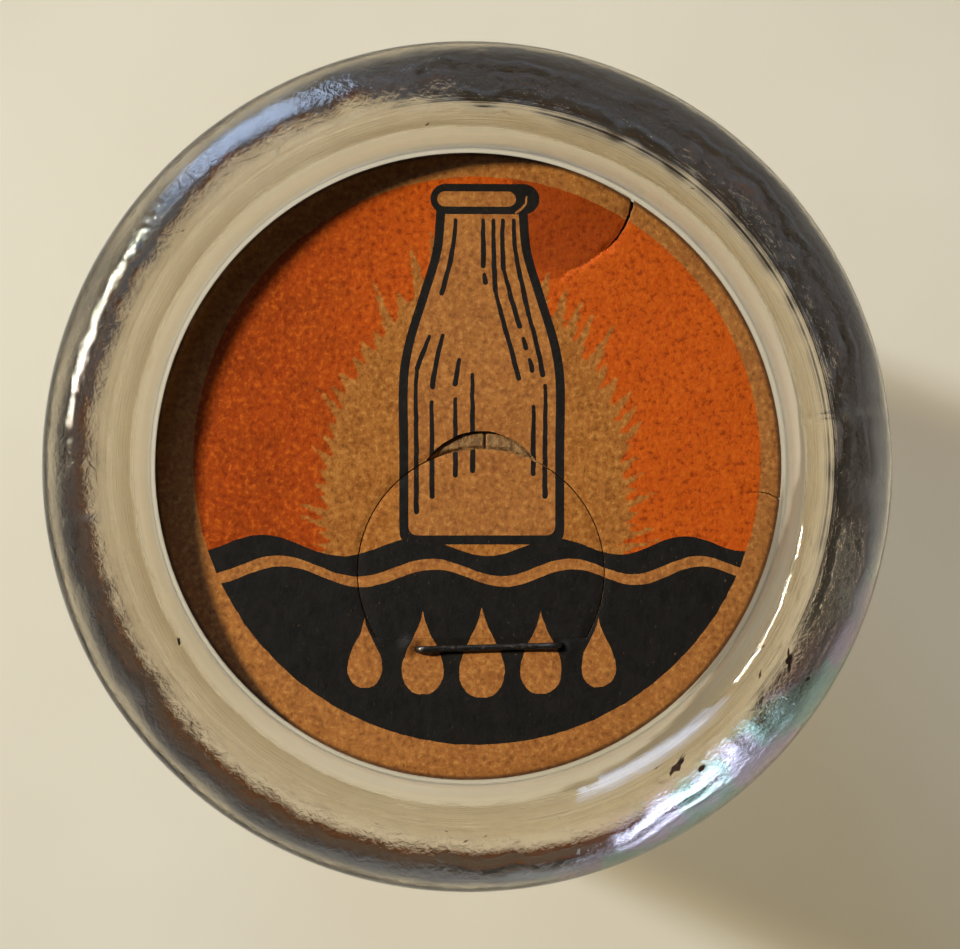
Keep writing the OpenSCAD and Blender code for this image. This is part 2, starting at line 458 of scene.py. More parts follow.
def smoothed(points, steps):
    """A centripetal Catmull-Rom curve through the points."""
    def between(a, b, start, end):
        return (end - t) / (end - start) * a + (t - start) / (end - start) * b

    padded = np.vstack([2 * points[0] - points[1], points, 2 * points[-1] - points[-2]])
    out = []
    for p0, p1, p2, p3 in zip(padded, padded[1:], padded[2:], padded[3:]):
        t1 = np.hypot(*(p1 - p0)) ** 0.5
        t2 = t1 + np.hypot(*(p2 - p1)) ** 0.5
        t3 = t2 + np.hypot(*(p3 - p2)) ** 0.5
        for i in range(steps):
            t = t1 + (t2 - t1) * i / steps
            a = between(p1, p2, t1, t2)
            before = between(between(p0, p1, 0.0, t1), a, 0.0, t2)
            after = between(a, between(p2, p3, t2, t3), t1, t3)
            out.append(between(before, after, t1, t2))
    return np.array(out + [points[-1]])


# ---- bottle

SEAM_ANGLES = (8.0, 188.0)    # where the two halves of the mould met
SEAM_W = 0.45                 # degrees
TURNS = 240
WORN_ANGLE = 30.0             # degrees
WORN_LIP = 1.5                # how much nearer the mouth the lip's crown is on that side, in millimetres

# Heights, in metres
FOOT_TOP = 0.0035             # the underside stays plain up to here
SEAM_LOW, SEAM_HIGH = 0.004, 0.131
THROAT_LOW = 0.115            # the inside is truer above this
LIP_FOOT = 0.13               # the neck ends and the lip's underside starts
SEAT_TOP = 0.1366             # the wall around the cap ends and the lip's rounded top starts


def turn_angles():
    """Even steps around the bottle, with finer ones over each mould seam."""
    angles = {round(360.0 * i / TURNS, 4) for i in range(TURNS)}
    for seam in SEAM_ANGLES:
        angles = {a for a in angles if abs(a - seam) > 1.2}
        angles |= {round(seam + k * SEAM_W, 4) for k in (-2, -1, 0, 1, 2)}
    return [math.radians(a) for a in sorted(angles)]


def smooth(value, low, high):
    """0 at low and before, 1 at high and after, and a smooth rise between."""
    t = min(max((value - low) / (high - low), 0.0), 1.0)
    return t * t * (3 - 2 * t)


def worn_side(angle):
    """How much of the lip's wear is on this side: all of it near WORN_ANGLE, none of it opposite."""
    away = abs((math.degrees(angle) - WORN_ANGLE + 180.0) % 360.0 - 180.0)
    return smooth(away, 100.0, 35.0)


def glass_offset(r, z, inside, angle, seam):
    """How far the glass stands off its plain section, in metres."""
    where = Vector((r * math.cos(angle), r * math.sin(angle), z)) / MM
    broad = noise.noise(where * 0.035)
    if inside:
        fine = noise.noise(where * 0.11 + Vector((5, 7, 3)))
        deep = 1.0 if z < THROAT_LOW else 0.25
        return (0.24 * broad + 0.06 * fine) * MM * deep
    off = (-0.06 + 0.05 * broad) * MM
    if seam and SEAM_LOW < z < SEAM_HIGH:
        off += 0.09 * MM
    return off


def crown_shift(r, angle, outer, mouth):
    """How much nearer the mouth the lip's rounded top is at this radius and angle, in metres."""
    return WORN_LIP * MM * worn_side(angle) * math.sin(math.pi * max(r - mouth, 0.0) / (outer - mouth))


def lip_reach(section):
    """The lip's outer radius, and the radius of the mouth where the lip's rounded top starts."""
    high = section[section[:, 1] > SEAT_TOP]
    return high[:, 0].max(), high[:, 0].min()


def bottle_points(section, angles):
    """Rings of points around the bottle, one for each point of its section but the two on the axis."""
    radii, heights = section[:, 0], section[:, 1]
    normals = -left_side(section)
    top = int(np.argmax(heights))
    outer, mouth = lip_reach(section)
    seams = [min(abs(math.degrees(a) - s) for s in SEAM_ANGLES) < 0.01 for a in angles]
    points = []
    for i in range(1, len(section) - 1):
        r, z, inside = radii[i], heights[i], i > top
        plain = r < 3 * MM or z > LIP_FOOT or (z < FOOT_TOP and not inside)
        for a, seam in zip(angles, seams):
            off = 0.0 if plain else glass_offset(r, z, inside, a, seam)
            rr, zz = r + normals[i][0] * off, z + normals[i][1] * off
            if z > SEAT_TOP:
                rr -= crown_shift(r, a, outer, mouth)
            points.append((rr * math.cos(a), rr * math.sin(a), zz))
    return points


def ring_faces(rings, n):
    """Faces between rings of n points, closed by the two points on the axis, which come after the rings."""
    faces = []
    for row in range(rings - 1):
        for k in range(n):
            a, b = row * n + k, row * n + (k + 1) % n
            faces.append((a, b, b + n, a + n))
    base, floor, last = rings * n, rings * n + 1, (rings - 1) * n
    for k in range(n):
        faces.append((base, (k + 1) % n, k))
        faces.append((floor, last + k, last + (k + 1) % n))
    return faces


def build_bottle():
    section = smoothed(spaced(rounded(section_of("bottle"), 0.4 * MM), 1.8 * MM), 2)
    angles = turn_angles()
    verts = bottle_points(section, angles) + [(0, 0, section[0, 1]), (0, 0, section[-1, 1])]
    obj = mesh_object("glass_bottle", verts, ring_faces(len(section) - 2, len(angles)), [glass()])
    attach(obj, "bottle")
    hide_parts("bottle")


# ---- printed design

def circle(x, y, r, n):
    turns = [2 * math.pi * i / n for i in range(n)]
    return np.array([(x + r * math.cos(t), y + r * math.sin(t)) for t in turns])


def inside(points, loop):
    """Which points lie inside a closed loop."""
    x, y = points[:, 0], points[:, 1]
    hit = np.zeros(len(points), bool)
    for (x0, y0), (x1, y1) in zip(loop, np.roll(loop, -1, axis=0)):
        if y0 == y1:
            continue
        crosses = (y0 > y) != (y1 > y)
        hit ^= crosses & (x < (x1 - x0) * (y - y0) / (y1 - y0) + x0)
    return hit


def mirrored(half, x):
    """A closed outline from its right-hand half."""
    half = np.array(half, float)
    other = half[::-1] * (-1, 1)
    return np.vstack([half, other]) + (x, 0)


def bezier(a, b, c, d, n):
    a, b, c, d = (np.array(p, float) for p in (a, b, c, d))
    return [(1 - t) ** 3 * a + 3 * t * (1 - t) ** 2 * b + 3 * t * t * (1 - t) * c + t ** 3 * d
            for t in (i / n for i in range(n))]


def unevenness(points, x_scale, y_scale, seed):
    """Smooth noise at each point, from -1 to 1."""
    return np.array([noise.noise(Vector((x * x_scale, y * y_scale, seed))) for x, y in points])


def ragged(loop, amount, pitch=1.4, seed=0.0):
    """Slightly uneven edges, as ink leaves them on rough board."""
    shifts = [unevenness(loop, pitch, pitch, number) for number in (seed, seed + 9)]
    return loop + amount * np.stack(shifts, axis=1)


def dense(loop, longest=0.3, closed=True):
    ends = np.vstack([loop, loop[:1]]) if closed else loop
    out = spaced(ends, longest)
    return out[:-1] if closed else out


def pen_line(points, width):
    """A pen line through the points, with round ends, thinner at its start."""
    points = np.array(points)
    side = left_side(points)
    along = np.stack([side[:, 1], -side[:, 0]], axis=1)
    half = width / 2 * (0.75 + 0.25 * np.sin(np.linspace(0.0, math.pi / 2, len(points))))[:, None]
    left, right = points + side * half, points - side * half

    def end(i, sign):
        turns = [math.pi * j / 6 for j in range(1, 6)]
        return [points[i] + (side[i] * math.cos(t) - along[i] * math.sin(t)) * half[i] * sign for t in turns]
    return np.vstack([left[::-1], end(0, 1), right, end(-1, -1)])


def wave(x, height, shift):
    """Height of one printed wave line at x. The lines sag a little in the middle of the cap."""
    phase = (x - shift) * 2 * math.pi / WAVE_STEP - 0.6 * math.cos(x * math.pi / 28)
    swell = 0.56 + 0.12 * min(max(-x / 14, 0.0), 1.0)
    return height + swell * math.cos(phase) - 0.25 * math.cos(x * math.pi / 34)


def wave_line(height, shift):
    return [(x, wave(x, height, shift)) for x in np.arange(-22.0, 22.01, 0.3)]


# Height and shift of each edge of the black band, the orange sky above it and the black ground below it
BAND_TOP = wave_line(-5.12, -13.57)
SKY_LOW = wave_line(-5.8, -13.1)
BAND_BOTTOM = wave_line(-6.45, -12.6)
GROUND_TOP = wave_line(-7.15, -12.4)

# The printed bottle: its middle, its foot, the top of its neck and half the width of its straight body
BOTTLE_X = 0.8
BOTTLE_LOW, BOTTLE_HIGH = -4.87, 16.9
BOTTLE_HALF = 5.14
# Half the printed bottle's width at each height, from its heel up to its lip
PROFILE = smoothed(np.array([(BOTTLE_HALF, -4.0), (BOTTLE_HALF, 1.0), (BOTTLE_HALF, 5.9), (4.75, 8.2),
                             (3.8, 11.3), (2.95, 14.2), (2.7, BOTTLE_HIGH)]), 6)


def half_width(y):
    return float(np.interp(y, PROFILE[:, 1], PROFILE[:, 0]))


def bottle_outline(grow):
    """A plain milk bottle's outline, larger all round by grow."""
    side, foot, corner = BOTTLE_HALF + grow, BOTTLE_LOW - grow, 0.8 + grow / 2
    low = bezier((side - corner, foot), (side - corner * 0.35, foot),
                 (side, foot + corner * 0.35), (side, foot + corner), 6)
    half = low + [(w + grow, y) for w, y in PROFILE] + [(PROFILE[-1][0] + grow, BOTTLE_HIGH + 0.4)]
    return dense(mirrored(half, BOTTLE_X))


def pill(x, y, half_w, half_h):
    """A bar with round ends."""
    right = [(x + half_w - half_h + half_h * math.cos(t), y + half_h * math.sin(t))
             for t in np.linspace(-math.pi / 2, math.pi / 2, 12)]
    left = [(2 * x - a, 2 * y - b) for a, b in right]
    return dense(np.array(right + left))


# Pen lines that follow the printed bottle's outline: shares of its half width at the start and the end,
# and the heights of the start and the end
SHINE = [
    (-0.63, -0.7, 16.2, 11.4), (0.03, 0.03, 16.2, 13.2), (0.05, 0.06, 12.6, 12.1),
    (0.28, 0.24, 16.2, 11.6), (0.24, 0.47, 11.6, 5.8), (0.5, 0.44, 16.2, 13.0), (0.44, 0.56, 13.0, 9.2),
    (0.58, 0.6, 8.4, 7.8), (0.63, 0.65, 7.0, 6.3), (0.76, 0.73, 16.2, 10.0), (0.73, 0.78, 10.0, 6.0),
    (0.81, 0.81, 5.3, -2.0), (0.66, 0.66, 3.9, -0.5), (-0.74, -0.84, 8.5, 6.4), (-0.84, -0.84, 6.4, -3.0),
    (-0.56, -0.63, 8.6, 5.2), (-0.64, -0.64, 4.2, -2.0), (-0.3, -0.34, 7.0, 5.4), (-0.34, -0.34, 4.4, -0.6),
    (-0.12, -0.12, 6.0, -0.3),
]
SHINE_W = 0.34


def shine_line(first, last, high, low):
    n = max(4, int((high - low) / 0.5))
    points = []
    for i in range(n + 1):
        t = i / n
        y = high + (low - high) * t
        points.append((BOTTLE_X + half_width(y) * (first + (last - first) * t), y))
    return pen_line(points, SHINE_W)


def drop(x, y, size):
    """A milk drop with its point up."""
    half = [(0.0, 1.0)] + bezier((0.0, 1.0), (0.08, 0.45), (0.5, 0.1), (0.5, -0.42), 7)
    half += bezier((0.5, -0.42), (0.5, -0.8), (0.25, -1.0), (0.0, -1.0), 6)
    return dense(mirrored(np.array(half[1:]) * size, 0.0) + (x, y), 0.25)


def ornament():
    """A row of five plain milk drops across the black ground."""
    xs = (-6.9, -3.1, 0.8, 4.7, 8.5)
    sizes = (2.3, 2.75, 3.0, 2.75, 2.3)
    return [drop(x, -12.3, s) for x, s in zip(xs, sizes)]


HALO_X = 0.5                  # middle of the glow
RAY_X, RAY_Y = 0.8, -7.5      # where the glow's rays come from
RAYS = 50
RAY_W = 0.026                 # half the width of a ray at its root, in radians
SOFT = 0.36                   # width of the glow's soft edge


def halo_reach():
    """The glow's edge, as its distance from where the rays start, at each angle."""
    half = smoothed(np.array([(9.9, -6.5), (10.1, -3.0), (10.0, 0.0), (9.2, 3.6), (7.5, 7.4), (5.2, 10.0),
                              (3.7, 12.0), (2.2, 13.0), (0.0, 13.3)]), 6)
    edge = np.vstack([half, half[::-1] * (-1, 1)]) + (HALO_X - RAY_X, -RAY_Y)
    angles = np.arctan2(edge[:, 1], edge[:, 0])
    order = np.argsort(angles)
    return angles[order], np.hypot(edge[:, 0], edge[:, 1])[order]


def ray_lengths():
    """Angle and length of every tip and of the gaps beside it, in turn."""
    rng = random.Random(SEED + 1)
    angles, lengths = [], []
    for i in range(RAYS):
        at = math.pi * (i + rng.uniform(0.3, 0.7)) / RAYS
        tip = rng.choice((0.7, 1.2, 1.8, 2.6)) * rng.uniform(0.8, 1.2)
        angles += [at - RAY_W, at, at + RAY_W]
        lengths += [rng.uniform(-0.7, 0.0), tip, rng.uniform(-0.7, 0.0)]
    return angles, lengths


KRAFT, ORANGE, BLACK, EDGE = 0, 1, 2, 3     # places of the cap's materials in their list


class Design:
    """The printed design's outlines, and the colour that each point of the cap takes."""

    def __init__(self):
        self.print = ragged(circle(PRINT_X, PRINT_Y, PRINT_R, 300), 0.06)
        self.band = ragged(np.array(BAND_TOP + BAND_BOTTOM[::-1]), 0.04)
        self.ground = ragged(np.array(GROUND_TOP + [(22.0, -24.0), (-22.0, -24.0)]), 0.04)
        self.sky = np.array(SKY_LOW + [(22.0, 24.0), (-22.0, 24.0)])
        self.bottle_out, self.bottle_in = bottle_outline(0.3), bottle_outline(-0.3)
        self.lip_out, self.lip_in = pill(1.0, 17.6, 3.6, 1.0), pill(0.45, 17.6, 2.6, 0.5)
        self.lip_gleam = pen_line([(3.75, 17.75), (3.7, 17.3), (3.4, 16.95), (3.05, 16.7)], 0.16)
        self.strokes = [ragged(dense(shine_line(*line)), 0.04) for line in SHINE]
        self.drops = [ragged(d, 0.06) for d in ornament()]
        self.reach = halo_reach()
        self.rays = ray_lengths()

    def loops(self):
        return [self.print, self.band, self.ground, self.bottle_out, self.bottle_in,
                self.lip_out, self.lip_in, self.lip_gleam] + self.strokes + self.drops

    def colours(self, points):
        got = np.full(len(points), KRAFT)
        printed = inside(points, self.print)
        got[printed & inside(points, self.sky)] = ORANGE
        body = inside(points, self.bottle_out)
        got[body] = KRAFT
        lip = inside(points, self.lip_out)
        line = body & ~inside(points, self.bottle_in)
        line = (line & ~lip) | (lip & ~inside(points, self.lip_in))
        for s in self.strokes:
            line |= inside(points, s) & ~lip
        line &= ~inside(points, self.lip_gleam)
        got[lip] = KRAFT
        got[line] = BLACK
        dark = printed & (inside(points, self.band) | inside(points, self.ground))
        got[dark] = BLACK
        for d in self.drops:
            got[inside(points, d)] = KRAFT
        return got

    def fades(self, points):
        """How bare of orange the board is: 1 inside the glow and its rays, 0 outside them."""
        x, y = points[:, 0] - RAY_X, points[:, 1] - RAY_Y
        angle, away = np.arctan2(y, x), np.hypot(x, y)
        edge = np.interp(angle, *self.reach)
        ray = edge + np.interp(angle, *self.rays)
        return np.clip(0.5 + (ray - away) / (2 * SOFT), 0.0, 1.0)


design = Design()


# ---- board layers

tab_low, tab_high = (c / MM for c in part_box("pull_tab"))
TAB_R = (tab_high.x - tab_low.x) / 2
TAB_X = (tab_high.x + tab_low.x) / 2
TAB_Y = -7.0
NOTCH_Y = TAB_Y + NOTCH_UP
HINGE_Y = tab_low.y - TAB_CUT
cap_low, cap_high = (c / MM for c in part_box("cap_board"))
CAP_R = cap_high.x
staple_low, staple_high = (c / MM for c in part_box("staple"))
STAPLE_X = (staple_low.x + staple_high.x) / 2
STAPLE_Y = (staple_low.y + staple_high.y) / 2
WIRE_R = (staple_high.y - staple_low.y) / 2
LEG_X = (staple_high.x - staple_low.x) / 2 - WIRE_R
THIN_R = 0.86 * WIRE_R      # the wire is drawn a little thinner than its CAD solid
WIRE_FLAT = 0.86            # and a little flattened
HOLE_R = 0.9 * THIN_R       # the board's holes are tight on the wire
STAPLE_SKEW = 0.12          # how far the staple's right end is above its middle, and its left end below
BEND_R = 0.45               # radius of the wire's bends, to its centreline
CLINCH_L = 3.6              # length of each leg where it is bent flat
CROWN_SAG = 0.19            # how far the crown is pressed in at its middle


def tab_outline(grow, hinge_gap=TAB_CUT):
    """The tab's round edge and straight side, larger all round by grow."""
    r, y = TAB_R + grow, HINGE_Y + hinge_gap - grow
    low = math.asin((y - TAB_Y) / r)
    turns = [low + (math.pi - 2 * low) * i / 150 for i in range(151)]
    return dense(np.array([(TAB_X + r * math.cos(t), TAB_Y + r * math.sin(t)) for t in turns]))


# Damage to the board: each crack or crease as points along it
TEAR = ((10.95, 18.9), (10.85, 17.8), (10.4, 16.2), (9.75, 15.1), (9.05, 14.3))
CREASE = ((9.05, 14.3), (7.5, 13.2), (6.7, 12.9), (5.9, 12.3))
TORN = TEAR + CREASE[1:]
SIDE_CRACK = ((21.5, -2.1), (20.5, -2.15), (19.6, -1.75), (18.4, -1.7))
NOTCH_CRACK = ((0.95, 2.6), (1.05, 1.9), (1.02, 1.4), (1.12, 0.9))


def slit(points, width, seed):
    """A narrow gap along the points, widest at the first and closed at the last."""
    points = dense(smoothed(np.array(points), 4), 0.2, False)
    side = left_side(points)
    half = width / 2 * np.sqrt(np.linspace(1.0, 0.0, len(points)))[:, None]
    return ragged(np.vstack([points + side * half, (points - side * half)[-2::-1]]), 0.05, 2.6, seed)


def staple_hole(side):
    return circle(STAPLE_X + side * LEG_X, STAPLE_Y + side * STAPLE_SKEW, HOLE_R, 16)


def points_in_grid(radius, pitch):
    rng = random.Random(SEED)
    out = []
    rows = int(radius / (pitch * 0.866)) + 1
    for j in range(-rows, rows + 1):
        y = j * pitch * 0.866
        shift = pitch / 2 if j % 2 else 0.0
        for i in range(-rows - 1, rows + 2):
            x = i * pitch + shift
            if math.hypot(x, y) < radius - pitch * 0.5:
                out.append((x + rng.uniform(-1, 1) * pitch * 0.12, y + rng.uniform(-1, 1) * pitch * 0.12))
    return out


def away_from(points, x, y):
    """Distance of each point from a place on the cap."""
    return np.hypot(points[:, 0] - x, points[:, 1] - y)


def fine_points():
    """Closer points around the top of the notch, and where the board is torn or creased."""
    points = np.array(points_in_grid(CAP_R, FINE_GRID))
    y = points[:, 1]
    notch = (away_from(points, TAB_X, NOTCH_Y) < NOTCH_R + 0.5) & (y > 0.0)
    torn = (y > 11.3) & (near_path(points, TORN) < 0.8)
    return [tuple(p) for p in points[notch | torn]]


def triangulated(loops, grid):
    """Triangles whose edges follow every loop, as points and index rows."""
    verts, edges = [], []
    for loop in loops:
        start = len(verts)
        verts += [Vector(p) for p in loop]
        edges += [(start + i, start + (i + 1) % len(loop)) for i in range(len(loop))]
    verts += [Vector(p) for p in grid]
    out = delaunay_2d_cdt(verts, edges, [], 0, 1e-4)
    return np.array([tuple(v) for v in out[0]]), np.array([f for f in out[2] if len(f) == 3])


def cut_out(outline, holes, lines, grid):
    """Triangles inside the outline and outside its holes, with edges along the lines.

    They come as points, rows of indices and the triangles' middles.
    """
    points, tris = triangulated([outline] + holes + lines, grid)
    mid = points[tris].mean(axis=1)
    keep = inside(mid, outline)
    for hole in holes:
        keep &= ~inside(mid, hole)
    return points, tris[keep], mid[keep]


def layered(name, points, tris, top, bottom, top_mats, under_mat, materials):
    """A closed sheet from its triangles, with its upper and lower heights at each point.

    Its sides take the last of the materials. The points that it uses come with it.
    """
    used = np.unique(tris)
    place = {int(v): i for i, v in enumerate(used)}
    n = len(used)
    verts = [(x * MM, y * MM, z) for heights in (top, bottom)
             for (x, y), z in zip(points[used], heights[used])]
    upper = [tuple(place[int(v)] for v in t) for t in tris]
    lower = [tuple(v + n for v in reversed(t)) for t in upper]
    sides = [side for t in upper for side in zip(t, t[1:] + t[:1])]
    shared = set(sides)
    edges = [(b, a, a + n, b + n) for a, b in sides if (b, a) not in shared]
    mats = list(top_mats) + [under_mat] * len(lower) + [len(materials) - 1] * len(edges)
    return mesh_object(name, verts, upper + lower + edges, materials, mats), used


def set_values(obj, name, values):
    """Gives the points of a sheet's top and underside a value each, for its ink to read."""
    layer = obj.data.attributes.new(name, "FLOAT", "POINT")
    layer.data.foreach_set("value", np.concatenate([values, values]).astype(np.float32))


def with_sharp_edges(obj, degrees=40):
    """Shades smoothly except over edges sharper than that."""
    work = bmesh.new()
    work.from_mesh(obj.data)
    for e in work.edges:
        e.smooth = len(e.link_faces) == 2 and e.calc_face_angle(0.0) < math.radians(degrees)
    work.to_mesh(obj.data)
    work.free()


def dip(points, x, y, radius):
    """1 at a spot, falling smoothly to 0 at that radius."""
    d = away_from(points, x, y) / radius
    return np.where(d < 1, (1 - d * d) ** 2, 0.0)


def segment_gap(points, a, b):
    """Distance to a straight line between two points."""
    a, b = np.array(a), np.array(b)
    u = b - a
    t = np.clip(((points - a) @ u) / (u @ u), 0, 1)
    near = points - (a + t[:, None] * u)
    return np.hypot(near[:, 0], near[:, 1])


def near_path(points, path):
    """Distance to a path of straight steps."""
    return np.min([segment_gap(points, a, b) for a, b in zip(path, path[1:])], axis=0)


def beside_tear(points, left):
    """Which points lie between the tear and its crease below and a line up the board on the left."""
    return inside(points, np.array(TORN + ((left, 12.3), (left, 22.0), (10.95, 22.0))))


def flap_shade(points):
    """How much painted shade the flap left of the tear takes: 1 on the flap, fading to 0 towards the crease
    below it, and 0 elsewhere.
    """
    return np.where(beside_tear(points, 3.0), np.clip((points[:, 1] - 12.0) / 1.2, 0, 1), 0.0)


def staple_relief(points):
    """The board is pressed in along the wire, and stands up a little past its ends."""
    gap = segment_gap(points, *[(STAPLE_X + side * LEG_X, STAPLE_Y + side * STAPLE_SKEW) for side in (-1, 1)])
    return (-0.1 * np.exp(-(gap / 0.4) ** 2)
            + 0.24 * dip(points, STAPLE_X - LEG_X - 0.5, STAPLE_Y + 0.15, 0.85)
            + 0.08 * dip(points, STAPLE_X + LEG_X + 0.45, STAPLE_Y, 0.8))


def tear_relief(points):
    """The flap beside the tear has sunk, and the tear, its crease and the side crack are pressed in."""
    gap = near_path(points, TORN)
    torn = np.clip((points[:, 1] - 11.6) / 5.0, 0, 1)
    return (-np.where(beside_tear(points, 2.0), 0.26, 0.0) * torn * np.clip(1 - gap / 3.6, 0, 1)
            - 0.05 * np.exp(-(gap / 0.22) ** 2)
            - 0.1 * dip(points, 9.1, 14.35, 0.6)
            - 0.04 * np.exp(-(near_path(points, SIDE_CRACK) / 0.2) ** 2))


def rim_relief(points):
    """The cap's rim and the cut around the tab are rounded over."""
    edge = CAP_R - away_from(points, 0.0, 0.0)
    rim = np.abs(away_from(points, TAB_X, TAB_Y) - TAB_R)
    return (-0.07 * np.exp(-(edge / 0.5))
            - np.where(points[:, 1] > HINGE_Y, 0.05, 0.0) * np.exp(-(rim / 0.28) ** 2))


def facing_height(points):
    """Height of the printed surface in metres."""
    z = np.full(len(points), facing_high / MM) - 0.03
    z -= 0.03 * unevenness(points, 0.22, 0.22, 2.0)
    z += 0.012 * unevenness(points, 1.1, 0.6, 5.0)
    return (z + staple_relief(points) + tear_relief(points) + rim_relief(points)) * MM


def build_facing(inks):
    notch = ragged(circle(TAB_X, NOTCH_Y, NOTCH_R, 120), 0.1, 1.1, 4.0)
    holes = [tab_outline(TAB_CUT), notch, staple_hole(-1), staple_hole(1),
             slit(TEAR, 0.26, 3.0), slit(SIDE_CRACK, 0.12, 6.0)]
    grid = points_in_grid(CAP_R, GRID) + fine_points()
    points, tris, mid = cut_out(circle(0, 0, CAP_R, 420), holes, design.loops(), grid)
    bottom = np.full(len(points), facing_low)
    obj, used = layered("cap_facing_print", points, tris, facing_height(points), bottom,
                        design.colours(mid), KRAFT, inks)
    set_values(obj, "fade", design.fades(points[used]))
    set_values(obj, "flap", flap_shade(points[used]))
    with_sharp_edges(obj)
    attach(obj, "cap")
    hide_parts("cap_facing")


def build_tab(inks):
    grid = [p for p in points_in_grid(CAP_R, GRID) if math.hypot(p[0] - TAB_X, p[1] - TAB_Y) < TAB_R + 1]
    points, tris, mid = cut_out(tab_outline(0.0, 0.01), [], design.loops(), grid)
    lift = np.clip((points[:, 1] - (TAB_Y + TAB_R - 3.0)) / 3.0, 0, 1) ** 2
    top = facing_height(points) + 0.05 * MM * lift
    bottom = facing_low + MM * 0.05 * (1 + unevenness(points, 1.6, 0.7, 8.0))
    obj, used = layered("pull_tab_print", points, tris, top, bottom, design.colours(mid), EDGE, inks)
    set_values(obj, "fade", design.fades(points[used]))
    with_sharp_edges(obj)
    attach(obj, "pull_tab")
    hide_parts("pull_tab")


def board_top(points):
    """Height of the board's top in metres: rough, and ripped up where the printed layer above it is open."""
    rough = unevenness(points, 2.2, 1.0, 3.0)
    inward = NOTCH_R - away_from(points, TAB_X, NOTCH_Y)
    outward = away_from(points, TAB_X, TAB_Y) - TAB_R - TAB_CUT
    ripped = np.clip(np.minimum(inward, outward) / 0.16, 0, 1)
    z = -(0.035 + 0.03 * rough) + ripped * (0.2 + 0.07 * rough)
    z -= 0.25 * np.exp(-(near_path(points, NOTCH_CRACK) / 0.07) ** 2) * ripped
    z -= 0.5 * np.exp(-(near_path(points, TEAR) / 0.22) ** 2)
    return board_high + z * MM


def build_board(bare, torn):
    outline = ragged(circle(0, 0, CAP_R - 0.03, 420), 0.03, 3.0)
    notch = circle(TAB_X, NOTCH_Y, NOTCH_R + 0.3, 90)
    tab_area = tab_outline(-0.2)
    lines = [notch, tab_area, slit(NOTCH_CRACK, 0.14, 8.0)]
    grid = points_in_grid(CAP_R, GRID) + fine_points()
    points, tris, mid = cut_out(outline, [staple_hole(-1), staple_hole(1)], lines, grid)
    bottom = board_low + MM * (0.02 + 0.02 * unevenness(points, 0.4, 0.3, 6.0))
    opened = inside(mid, notch) | inside(mid, tab_area)
    obj, _ = layered("cap_board_disc", points, tris, board_top(points), bottom,
                     np.where(opened, 1, 0), 0, [bare, torn])
    with_sharp_edges(obj)
    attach(obj, "cap")
    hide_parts("cap_board")


# ---- staple

def swept(name, path, radius, flat, sides, mat):
    """A wire along a path of points, flattened across the path by that share, its ends drawn in."""
    path = [Vector(p) for p in path]
    verts, faces = [], []
    normal = Vector((0, 1, 0))
    count = len(path)
    for i, p in enumerate(path):
        ahead = (path[min(i + 1, count - 1)] - path[max(i - 1, 0)]).normalized()
        across = ahead.cross(normal).normalized()
        for k in range(sides):
            a = 2 * math.pi * k / sides
            shrink = 0.55 if i in (0, count - 1) else 1.0
            verts.append(p + (normal * math.cos(a) + across * math.sin(a) * flat) * radius * shrink)
    for i in range(count - 1):
        for k in range(sides):
            a, b = i * sides + k, i * sides + (k + 1) % sides
            faces.append((a, b, b + sides, a + sides))
    faces.append(tuple(range(sides - 1, -1, -1)))
    faces.append(tuple(range((count - 1) * sides, count * sides)))
    return mesh_object(name, verts, faces, [mat])


def staple_path():
    """The staple's centreline: clinched leg, up through the board, along the sagging crown and down again."""
    low, high = staple_low.z + WIRE_R, staple_high.z - WIRE_R
    span = LEG_X - BEND_R
    tip = span - CLINCH_L
    half = [(tip, low + 0.12), (tip + 1.4, low + 0.02), (span, low)]
    for a in (math.radians(d) for d in (18, 36, 54, 72, 90)):
        half.append((span + BEND_R * math.sin(a), low + BEND_R - BEND_R * math.cos(a)))
    half.append((LEG_X, (low + high) / 2))
    for a in (math.radians(d) for d in (0, 18, 36, 54, 72, 90)):
        half.append((span + BEND_R * math.cos(a), high - BEND_R + BEND_R * math.sin(a)))
    xs = [span * k / 12 for k in range(11, -12, -1)]
    crown = [(x, high - CROWN_SAG * (1 - (x / span) ** 4)) for x in xs]
    points = half + crown + [(-x, z) for x, z in reversed(half)]
    return [((STAPLE_X + x) * MM, (STAPLE_Y + STAPLE_SKEW * x / LEG_X) * MM, z * MM) for x, z in points]


def build_staple():
    obj = swept("staple_wire_bent", staple_path(), THIN_R * MM, WIRE_FLAT, 14, wire())
    with_sharp_edges(obj, 50)
    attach(obj, "cap")
    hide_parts("staple")


# ---- specks on the lip

# Scraps of old paper that stick to the lip: angle in degrees, distance from the axis and size in millimetres
SPECKS = [(-31.6, 24.2, 2.0), (-31.8, 22.3, 0.4), (-35.9, 23.1, 0.7), (-32.3, 26.0, 0.8),
          (-55.6, 23.6, 2.0), (-52.8, 24.6, 1.3), (-58.6, 23.0, 0.35), (211, 22.1, 0.7),
          (97.5, 22.3, 0.45), (51.5, 23.0, 0.4), (-91, 24.3, 0.5), (-88, 24.0, 0.35),
          (-94, 23.7, 0.3), (141, 24.0, 0.45)]
SCRAP_HIGH, SCRAP_LOW = 0.02, -0.04      # a scrap's top and underside, from the surface of the glass
SCRAP_POINTS = 22


def lip_height(section, r, angle):
    """Height of the lip's top at a distance from the axis and an angle, in metres."""
    outer, mouth = lip_reach(section)
    crown = section[section[:, 1] > SEAT_TOP]
    radii = np.array([c - crown_shift(c, angle, outer, mouth) for c in crown[:, 0]])
    order = np.argsort(radii)
    return float(np.interp(r, radii[order], crown[order, 1]))


